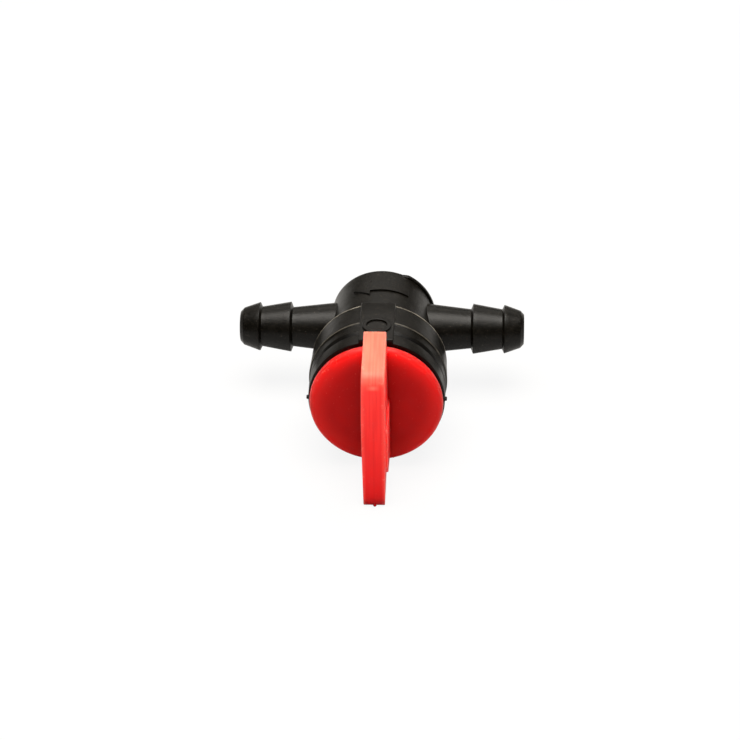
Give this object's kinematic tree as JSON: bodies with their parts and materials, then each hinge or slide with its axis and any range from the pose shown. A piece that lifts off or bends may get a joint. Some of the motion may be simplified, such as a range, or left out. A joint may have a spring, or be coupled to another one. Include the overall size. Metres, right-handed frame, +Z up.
{
  "type": "inline barbed shut-off valve",
  "caption": "Inline quarter-turn shut-off valve for small hose: black body with a hose barb at each side and a red disc knob with an upright fin.",
  "frame": {"origin": "middle of the foot of the whole valve's box, on the surface that it lies on", "axes": "+X along the two barbs, to the right seen from the knob; +Z up; the knob faces -Y and is raised by the valve's resting lean of 2.57 degrees"},
  "size_m": [0.044, 0.0362, 0.024],
  "materials": {
    "black_moulding": "satin, fine moulded grain",
    "red_moulding": "smooth semi-gloss",
    "washer_plastic": "smooth",
    "spring_steel": "bright spring wire",
    "seal_rubber": "matt"
  },
  "bodies": {
    "housing": {"valve_body": "black_moulding", "retaining_ring": "spring_steel", "thrust_washer": "washer_plastic"},
    "knob": {"turn_knob": "red_moulding", "stem_o_ring_inner": "seal_rubber", "stem_o_ring_outer": "seal_rubber", "port_seal_right": "seal_rubber", "port_seal_left": "seal_rubber"}
  },
  "joints": [
    {"name": "knob_turn", "type": "hinge", "parent": "housing", "child": "knob", "pos_m": [0, 0.01368, 0.01], "axis": [0, -0.999, 0.0449], "range_deg": [0, 90]}
  ]
}
